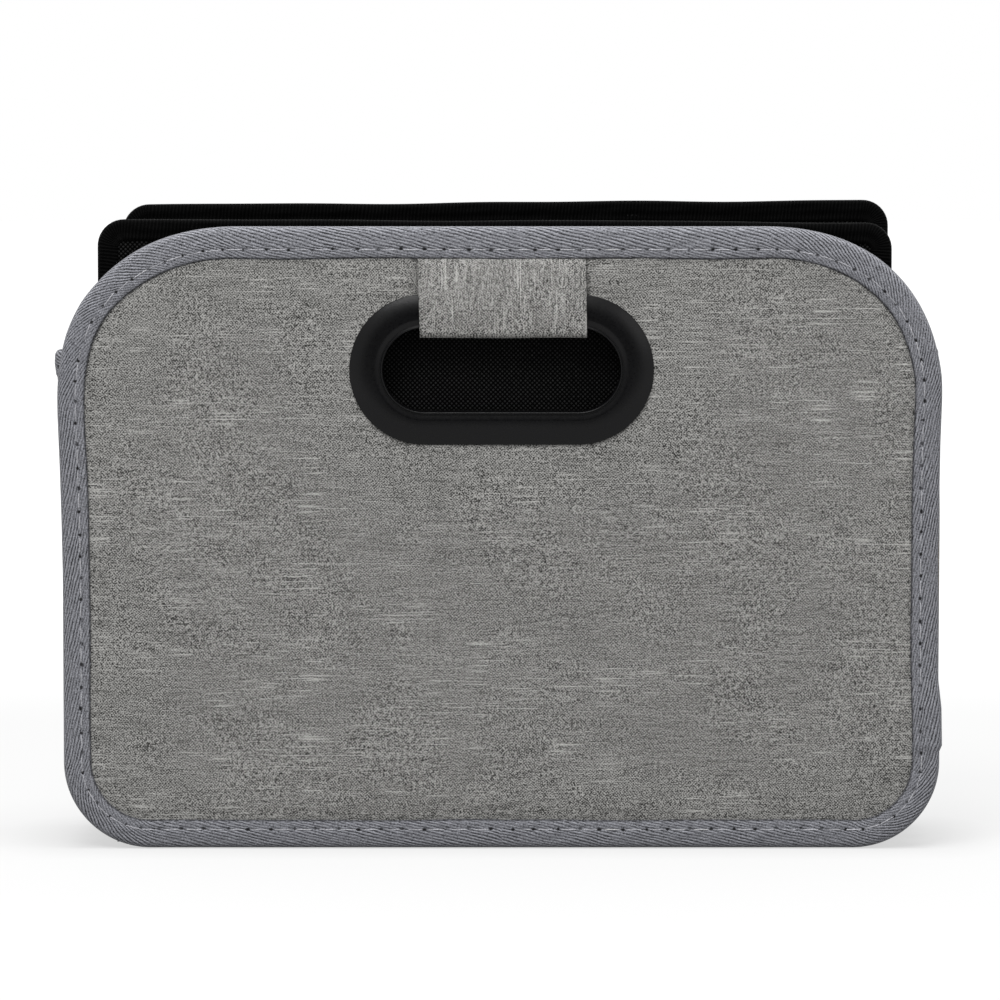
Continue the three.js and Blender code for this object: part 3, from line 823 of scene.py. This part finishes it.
def rim_tape(name, body, outline, back, front, replaced, seed, bend=placed):
    """Tape rolled over the rim of a thin panel: its section is a superellipse with two flanks."""
    points, inward, s, length = eased_loop(outline, 640)
    depth, middle = (front - back) / 2, (front + back) / 2
    a = np.linspace(0, np.pi, 19)
    power = 2 / 2.6
    roll_inset = 2.4 * (1 - np.abs(np.sin(a)) ** power)
    roll_out = depth * np.sign(np.cos(a)) * np.abs(np.cos(a)) ** power
    band = np.linspace(BLACK_TAPE, 3.0, 7)
    sunk = 0.3 * np.exp(-(((band - BLACK_TAPE + 2.8) / 0.8) ** 2)) + 0.3 * (band == BLACK_TAPE)
    inset = np.concatenate([[BLACK_TAPE], band, roll_inset, band[::-1], [BLACK_TAPE]])
    out = np.concatenate([
        [depth - 0.7], depth - sunk, roll_out, -(depth - sunk)[::-1], [0.7 - depth],
    ])
    across = points[:, :1] + inward[:, :1] * inset
    up = points[:, 1:] + inward[:, 1:] * inset
    bumps = 1 + 0.05 * drift(s[:, None], inset[None, :] * 3, 12, seed)
    grid = bend(across, middle + out[None, :] * bumps, up)
    v = np.concatenate([[0], np.cumsum(np.hypot(np.diff(inset), np.diff(out)))])
    uv = lengths(s[:, None], v[None, :])
    last = uv[:1].copy()
    last[..., 0] = length / 1000
    tape = surface(name, grid, black_tape, body, np.concatenate([uv, last]), wrap=(True, False))
    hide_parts(replaced)


def floor_flap(end, turn, body):
    """Floor flap: two cloth faces and a rolled tape round a rounded rectangle.

    The tape's section is a superellipse; the whole flap leans by a small slope across its width.
    """
    low, high = (np.array(v) * 1000 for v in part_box(f"{end}_floor_binding"))
    middle_across = turn * (low[0] + high[0]) / 2
    half = (high[0] - low[0]) / 2
    foot, top = low[2], high[2]
    near = -turn * np.array([low[1], high[1]])
    back, front = min(near), max(near)
    slope = {"front": -0.0042, "rear": -0.0075}[end]

    def slanted(across, out, up):
        share = np.clip((up - foot) / (top - foot), 0, 1)
        wave = 0.25 * drift(across, 0 * across, 90, 41 + turn) * share
        lean = slope * across * share + wave
        return placed(across + middle_across, out, up + lean, turn)

    outline = (half, foot, top, FLAP_CORNER, FLAP_CORNER)
    replaced = f"{end}_floor_binding"
    rim_tape(f"{end}_floor_tape", body, outline, back, front, replaced, 43, slanted)
    for name, face, side in (("upper", front - 0.72, 1), ("under", back + 0.72, -1)):
        x = np.linspace(-half + 4, half - 4, 120)[:, None]
        z = np.linspace(foot + 4, top - 4, 90)[None, :]
        out_face = face + side * 0.12 * drift(x, z, 60, 45 + side)
        grid = slanted(x, out_face, z)
        grid = grid if side < 0 else grid[:, ::-1]
        cloth = surface(f"{end}_floor_{name}", grid, black_cloth, body, shell=0.5)
        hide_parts(f"{end}_floor_{name}_cloth")


for end, turn in HALVES:
    body = f"{end}_end"
    edge_binding(end, turn, body)
    face_cloth(end, turn, body)
    lining_cloth(end, turn, body)
    hand_ring(end, turn, body)
    back_ring(end, turn, body)
    grip_wrap(end, turn, body)
    floor_flap(end, turn, body)
    loop, inward, _, length = panel_loop(900)
    inset = binding_cover(inward) - STITCH_FROM_EDGE
    for side, out in ((1, rim_front + 0.08), (-1, rim_back - 0.08)):
        label = "front" if side > 0 else "back"
        name = f"{end}_binding_stitches_{label}"
        stitch_row(name, loop, inward, inset, out, length, body, turn, side)


# Cloth over the hinges, the leaves of the side walls, and the divider


def hinge_cloth(name, turn, side, centre_out, angles, radius, up, tape=False):
    """Cloth bent round a hinge line: angle runs along the first direction and height up the second.

    A point lies radius(angle share, up) from the line. angles are degrees from the outward direction
    of that side, towards the front.
    """
    share = np.linspace(0, 1, 28)[:, None]
    rise = np.linspace(up[0], up[1], 28 if tape else 70)[None, :]
    angle = np.radians(angles[0] + (angles[1] - angles[0]) * share)
    r = radius(share, rise)
    across = side * (HINGE + r * np.cos(angle))
    out = centre_out + r * np.sin(angle)
    grid = placed(across, out, rise, turn)
    steps = np.hypot(*np.diff(np.stack([across, out]), axis=1)).mean(1)
    around = np.concatenate([[0], np.cumsum(steps)])
    uv = lengths(around[:, None], rise - tape * up[0])
    if side * (angles[1] - angles[0]) > 0:
        grid, uv = grid[::-1], uv[::-1]
    material = grey_tape if tape else grey_turned
    piece = surface(name, grid, material, uv=uv, shell=0.45 if tape else 0.5)
    ends = (
        tuple(placed(across[k, 0], out[k, 0], (up[0] + up[1]) / 2, turn).tolist()) for k in (0, -1)
    )
    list(ends)
    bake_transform(piece)
    return piece


def tape_lift(up):
    """How far the tape lies over the cloth: rounded over at its top, sunk at its lower edge."""
    over = np.clip((up - leaf_top + 1.2) / 1.8, 0, 1)
    return 0.42 - 0.9 * over**2 - 0.25 * (up < TAPE_RISE[0] + 0.4)


def side_cloth(name, tape_name, turn, side, centre_out, angles, radius):
    """Cloth of a side wall round a hinge line, and the tape over its top, cut a little shorter."""
    cloth = hinge_cloth(name, turn, side, centre_out, angles, radius, CLOTH_RISE)
    hinge_cloth(
        tape_name, turn, side, centre_out, (angles[0], angles[1] * 88 / 90),
        lambda share, up: radius(share, up) + tape_lift(up), TAPE_RISE, tape=True,
    )
    return cloth


def bulge_of(turn, side):
    """How far the cloth stands out at a height: most near the top of the front left corner."""
    height = {(1, -1): 2.7, (1, 1): -1.6, (-1, -1): 0.7, (-1, 1): 1.2}[(turn, side)]
    rise = ([-60, -28, -16, -9, -4, 0], [0, 0.3, 0.42, 0.7, 1.0, 0.95])

    def bulge(share, up):
        along = np.interp(up - leaf_top, *rise) * height
        return along * np.sin(np.pi * np.clip(share, 0, 1) ** 0.8)

    return bulge


def corner_cloth(end, turn, side):
    """Corner of the side wall: from under the panel's tape round to the first leaf's outer face."""
    bulge = bulge_of(turn, side)
    world = "left" if side * turn < 0 else "right"

    def radius(share, up):
        fold = 0.35 * np.sin(np.pi * share) * np.clip((up - 34) / 50, 0, 1)
        wander = 0.12 * drift(share * 12, up, 30, 50 + side + 2 * turn)
        return 9.0 + fold - 0.3 * share**3 + bulge(share, up) + wander

    name = f"{end}_{world}_corner"
    cloth = side_cloth(
        name, f"{name}_tape", turn, side, CORNER_OUT, (41, -90), radius
    )
    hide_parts(f"{name}_cloth")


def leaf_foot(across):
    """Lowest point of a leaf: its foot, raised along the panel's rounded foot corner."""
    r = FOOT_CORNER[0]
    inset = 1.5
    x = np.clip(np.abs(across) - (panel_half - inset - r), 0, r - 0.5)
    return np.maximum(LEAF_FOOT, inset + r - np.sqrt(r**2 - x**2))


def closing(distance, reach_, power=2.3):
    """0 at an edge, 1 from `reach_` inwards: a superellipse quarter."""
    share = np.clip(distance / reach_, 0, 1)
    return (1 - (1 - share) ** power) ** (1 / power)


def crowded(count):
    """Shares from 0 to 1 that lie closer together at both ends, by a sine."""
    p = np.linspace(0, 1, count) - 0.5
    return (p + 0.5 * np.sin(p * np.pi)) / 2 + 0.5


def leaf(name, turn, side, outer, inner):
    """One leaf: an outer and an inner cover that meet round its edges, and tape over its top.

    Each cover is the mid plane plus half the leaf's thickness times a closing curve from the four
    edges. The tape is an arch over the top with two straight flanks.
    """
    middle, half = (outer + inner) / 2, abs(inner - outer) / 2
    outwards = np.sign(outer - inner)
    across = (CREASE + 0.2 + (HINGE - CREASE - 0.5) * crowded(90))[:, None]
    foot = leaf_foot(across)
    up = foot + (LEAF_EDGE - foot) * crowded(80)[None, :]
    near = np.minimum(np.minimum(across - across.min(), across.max() - across), up - foot)
    near = np.minimum(near, LEAF_EDGE - up)
    for label, way, material in (("outer", outwards, grey_cloth), ("inner", -outwards, black_cloth)):
        ripple = 0.10 * drift(across, up, 45, 60 + int(way)) * np.clip(near / 6, 0, 1)
        out = middle + way * (half * closing(near, 2.0) + ripple)
        grid = placed(side * across, out, up, turn)
        grid = grid if side * way < 0 else grid[:, ::-1]
        cover = surface(f"{name}_{label}", grid, material, name, shell=0.5)
        if label == "outer":
            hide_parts(f"{name}_cloth")
    flank = np.linspace(TAPE_RISE[0], leaf_top - 1.6, 8)
    a = np.linspace(0, np.pi, 11)[1:-1]
    bulk = half + 0.66
    section_out = np.concatenate([
        [half - 0.1], np.full(8, bulk), bulk * np.cos(a), np.full(8, -bulk), [0.1 - half],
    ])
    section_up = np.concatenate([
        flank[:1], flank, leaf_top - 1.6 + 1.6 * np.sin(a), flank[::-1], flank[:1],
    ])
    sunk = 0.2 * np.exp(-((section_up - (TAPE_RISE[0] + STITCH_FROM_EDGE)) / 0.8) ** 2)
    along = np.linspace(CREASE + 0.8, HINGE - 2.7, 80)[:, None]
    sway = 0.06 * drift(along, section_up[None, :], 14, 66)
    section = (section_out - np.sign(section_out) * sunk)[None, :]
    grid = placed(side * along, middle + section * (1 + sway * 0.1), section_up[None, :], turn)
    path = np.concatenate([[0], np.cumsum(np.hypot(np.diff(section_out), np.diff(section_up)))])
    uv = lengths(along, across_tape(path)[None, :])
    if side < 0:
        grid, uv = grid[::-1], uv[::-1]
    tape = surface(f"{name}_tape", grid, grey_tape, name, uv, shell=0.45)
    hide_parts(f"{name}_binding")


def crease(name, turn, side, body, way, next_body=None):
    """Outer cloth between two leaves: a half turn about the crease line, or a flat end at it."""
    a = np.radians(np.linspace(0, 176, 20))
    line = np.array([(CREASE + d, CREASE_OUT + way) for d in (7, 5, 3, 1.4)])
    if way > 0:
        line = np.concatenate([line, np.stack([CREASE - np.sin(a), CREASE_OUT + np.cos(a)], -1)])
    if next_body:
        line = np.concatenate([line, [(CREASE + d, CREASE_OUT - way) for d in (1.2, 3, 5, 7)]])
    up = np.linspace(LEAF_FOOT + 0.6, TAPE_RISE[0] - 0.6, 40)[None, :]
    grid = placed(side * line[:, :1], line[:, 1:], up, turn)
    if side * way > 0:
        grid = grid[::-1]
    piece = surface(name, grid, grey_turned, uv=lengths(line[:, :1], up))
    walled(piece, 0.4)
    if next_body:
        ends = [
            tuple(placed(side * (CREASE - 0.2), CREASE_OUT + w, 90.0, turn).tolist())
            for w in (way, -way)
        ]
        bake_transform(piece)
    else:
        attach(piece, body)


def divider():
    """Divider: tape round its rim and a cloth on each face."""
    half, top = divider_high[0], divider_high[2]
    outline = (half, divider_low[2], top, *DIVIDER_CORNERS)
    back, front = divider_low[1], divider_high[1]
    rim_tape("divider_tape", "divider", outline, back, front, "divider_binding", 71)
    for label, way in (("front", 1), ("rear", -1)):
        loop, inward, _, _ = eased_loop(outline, 300)
        t = np.linspace(0, 1, 40)[None, :, None]
        middle = np.stack([np.interp(loop[:, 0], [-half, half], [-60, 60]), np.full(300, 104.0)], -1)
        outer = loop + inward * 3
        flat = outer[:, None] * (1 - t) + middle[:, None] * t
        out = way * (divider_cloth + 0.1 * drift(flat[..., 0], flat[..., 1], 60, 72 + way))
        grid = placed(flat[..., 0], out, flat[..., 1])
        grid = grid[:, ::-1] if way > 0 else grid
        name = f"divider_{label}_cover"
        cloth = surface(name, grid, black_cloth, "divider", wrap=(True, False), shell=0.5)
        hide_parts(f"divider_{label}_cloth")


def divider_side(turn, side):
    """Side wall cloth past the divider: from its seam round to the second leaf's outer face."""
    world = "left" if side * turn < 0 else "right"
    label = "front" if turn > 0 else "rear"

    def radius(share, up):
        wander = 0.10 * drift(share * 12, up, 30, 80 + side)
        return 9.3 + 0.5 * np.sin(np.pi * share) - 0.3 * share + wander

    name = f"divider_{world}_{label}"
    side_cloth(
        f"{name}_cloth", f"{name}_tape", turn, side, 0.0, (3, 90), radius
    )


def seam_strip(world, side):
    """Flat strip from the divider's rim to the side wall's cloth, with a rolled outer edge."""
    a = np.linspace(-np.pi / 2, np.pi / 2, 9)
    section = np.concatenate([
        [(divider_high[0] - 0.3, -STRIP_HALF)],
        np.stack([HINGE + 10 - STRIP_HALF * (1 - np.cos(a)), STRIP_HALF * np.sin(a)], -1),
        [(divider_high[0] - 0.3, STRIP_HALF)],
    ])
    up = np.linspace(CLOTH_RISE[0], leaf_top, 60)[None, :]
    grid = placed(side * section[:, :1], section[:, 1:], up)
    grid = grid[::-1] if side > 0 else grid
    strip = surface(f"divider_{world}_strip", grid, grey_cloth, "divider", wrap=(True, False))
    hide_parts(f"divider_{world}_seam")


divider()
for world, side in SIDES:
    seam_strip(world, side)
for end, turn in HALVES:
    for world, sign in SIDES:
        side = sign * turn
        first, second = (1, 2) if turn > 0 else (4, 3)
        near, far = f"{world}_wall_{first}", f"{world}_wall_{second}"
        leaf(near, turn, side, outer_leaf[0][1], outer_leaf[0][1] + 4.4)
        leaf(far, turn, side, inner_leaf[1][1], inner_leaf[1][1] - 4.4)
        corner_cloth(end, turn, side)
        divider_side(turn, side)
        if sign * turn > 0:
            crease(f"{world}_{end}_crease", turn, side, near, 1, far)
        else:
            crease(f"{world}_{end}_crease_near", turn, side, near, 1)
            crease(f"{world}_{end}_crease_far", turn, side, far, -1)


# Plain finishes for the nodes that keep their own shape

SLOT_FINISH = {
    "grey_cloth": grey_cloth,
    "grey_tape": grey_cloth,
    "black_cloth": black_cloth,
    "black_tape": black_cloth,
    "black_plastic": black_plastic,
    "board": board,
}
for part in frame["record"]["subparts"]:
    node = bpy.data.objects[part["node"]]
    for held in node.material_slots:
        held.material = SLOT_FINISH[part["material_slot"]]


# Camera, light and floor

VIEW = {"aim": (-0.0006, -0.032, 0.1330), "distance": 2.2, "elevation": 5.0, "lens": 209.3}
# the floor's emission at the object's footprint and 30 mm from it, dimmed there as a painted shadow
FLOOR = {"bounce": srgb(145), "shade": srgb(130), "glow_with_painted_shadow": (0.60, 0.66)}
ROOM = {"low": 0.36, "high": 0.8, "front": 0.12}


def camera():
    """Looks from the front, a little above, at the panel's plane."""
    data = bpy.data.cameras.new("camera")
    data.lens = VIEW["lens"]
    data.sensor_width = 36
    tilt = math.radians(VIEW["elevation"])
    x, y, z = VIEW["aim"]
    held = bpy.data.objects.new("camera", data)
    held.location = (
        x, y - VIEW["distance"] * math.cos(tilt), z + VIEW["distance"] * math.sin(tilt)
    )
    held.rotation_euler = (math.pi / 2 - tilt, 0, 0)
    bpy.context.scene.collection.objects.link(held)
    bpy.context.scene.camera = held


def lamp(name, place, aim, size, power):
    data = bpy.data.lights.new(name, "AREA")
    data.shape = "RECTANGLE"
    data.size, data.size_y = size
    data.energy = power
    held = bpy.data.objects.new(name, data)
    held.location = place
    way = np.array(aim, float) - np.array(place, float)
    flat = math.hypot(way[0], way[1])
    held.rotation_euler = (math.atan2(flat, -way[2]), 0, math.atan2(-way[0], way[1]))
    bpy.context.scene.collection.objects.link(held)


def plainly_seen(f):
    """1 for rays that show the room straight, by a gloss or through glass; and for straight ones."""
    path = f.tree.nodes.new("ShaderNodeLightPath")
    kinds = ("Camera", "Glossy", "Transmission")
    straight, *others = (path.outputs[f"Is {kind} Ray"] for kind in kinds)
    return f.math("MAXIMUM", straight, f.math("MAXIMUM", *others)), straight


def white_room():
    """Floor and world that show white and light the object plainly, dimmer from the front.

    The floor's emission grows to full white with the distance from the object, past its shadow;
    near the object's footprint it is dimmed as a painted shadow, from 0.60 to 0.66 of white within
    30 mm, while its diffuse part keeps the object's real shadow.
    """
    f = Finish("white floor")
    seen = plainly_seen(f)[0]
    past = (
        f.math("MAXIMUM", f.minus(f.math("ABSOLUTE", c), half), 0.0)
        for c, half in zip(f.split(f.place())[:2], (0.16, 0.03))
    )
    away = f.math("SQRT", f.plus(*(f.times(c, c) for c in past)))
    # painted shadow: the floor's emission is lower near the object's footprint and rises to full
    # white far from it
    glow_with_painted_shadow = f.fit(away, 0.3, 0.9, f.fit(away, 0.0, 0.03, *FLOOR["glow_with_painted_shadow"], "LINEAR"), 1.0)
    plain = f.node("ShaderNodeBsdfDiffuse", {"Color": f.mix(seen, FLOOR["bounce"], FLOOR["shade"])})
    shine = f.node("ShaderNodeEmission", {"Strength": f.times(seen, glow_with_painted_shadow)})
    output = next(n for n in f.tree.nodes if n.type == "OUTPUT_MATERIAL")
    f.tree.links.new(f.node("ShaderNodeAddShader", (plain, shine)), output.inputs[0])
    f.material.cycles.emission_sampling = "NONE"
    across, out = np.meshgrid(np.linspace(-6000, 6000, 3), np.linspace(1000, -6000, 3), indexing="ij")
    floor = surface("floor", placed(across, out, 0), f.material)
    floor.location.z = -0.0002
    world = bpy.data.worlds.new("room")
    bpy.context.scene.world = world
    world.use_nodes = True
    world.cycles.sampling_method = "NONE"
    f.tree = world.node_tree
    back = next(n for n in f.tree.nodes if n.type == "BACKGROUND")
    _, y, z = f.split(f.node("ShaderNodeTexCoord", out="Generated"))
    front = f.times(y, -1.0)
    around = f.fit(z, -0.2, 0.9, ROOM["low"], ROOM["high"], "LINEAR")
    light = f.node("ShaderNodeMapRange", [front, 0.78, 0.98, around, ROOM["front"]])
    shown = f.fit(front, 0.8, 0.97, 1.0, ROOM["front"])
    seen, camera_ray = plainly_seen(f)
    light = f.node("ShaderNodeMapRange", [seen, 0.0, 1.0, light, shown])
    f.tree.links.new(f.node("ShaderNodeMapRange", [camera_ray, 0.0, 1.0, light, 1.0]), back.inputs[1])
    back.inputs[0].default_value = (1, 1, 1, 1)


camera()
lamp("key", (-0.45, -1.3, 1.75), (0, 0, 0.12), (1.0, 0.8), 20)
lamp("fill", (1.6, -1.9, 1.2), (0, 0, 0.12), (1.2, 1.2), 6)
lamp("top", (0.1, -0.3, 2.2), (0, 0, 0.12), (1.6, 0.8), 28)
white_room()
bpy.context.scene.view_settings.view_transform = "Standard"
